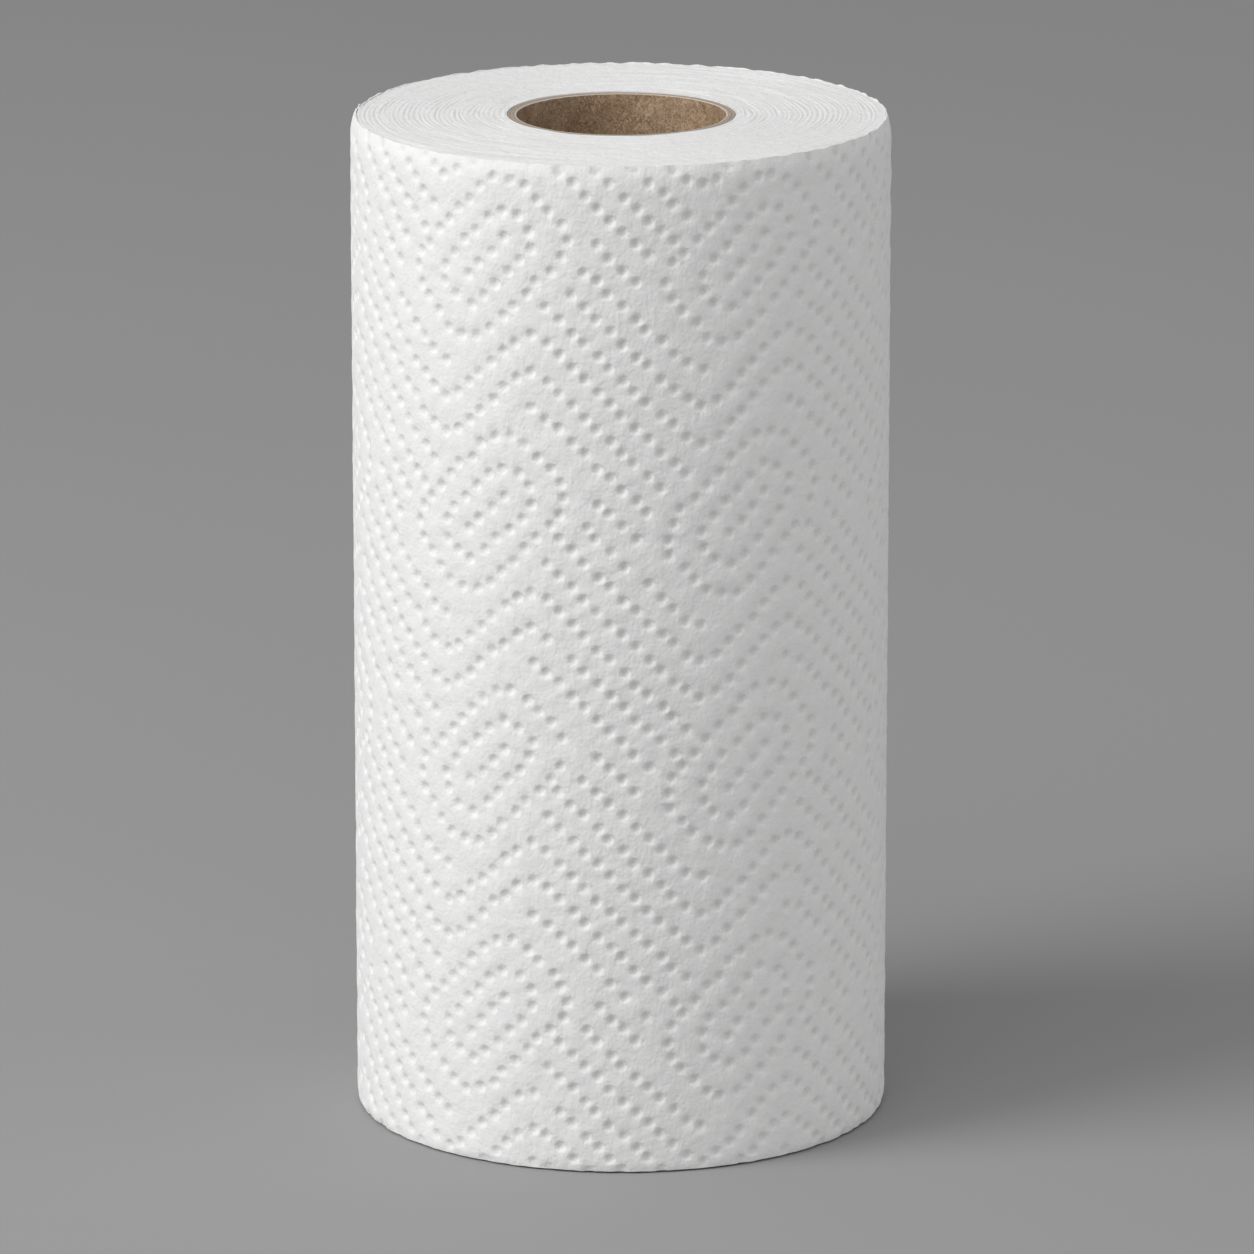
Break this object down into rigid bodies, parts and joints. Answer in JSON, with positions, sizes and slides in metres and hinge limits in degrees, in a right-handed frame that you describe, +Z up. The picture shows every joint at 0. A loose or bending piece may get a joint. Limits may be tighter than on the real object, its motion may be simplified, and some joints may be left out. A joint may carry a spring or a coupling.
{
  "type": "paper towel roll",
  "caption": "Embossed white paper towel roll wound on a brown cardboard core, standing on its end, with an open core for a holder's spindle.",
  "frame": {"origin": "centre of the roll's base, on the core's axis, where the roll stands", "axes": "+Z up along the core's axis, -Y the front of the roll, with the free end of the web behind on the left"},
  "size_m": [0.119, 0.1187, 0.225],
  "materials": {
    "core_board": "uncoated brown-grey board, matte",
    "towel_paper": "white embossed two-ply tissue, matte"
  },
  "bodies": {
    "root": {"core_tube": "core_board", "towel_web": "towel_paper"}
  },
  "joints": []
}
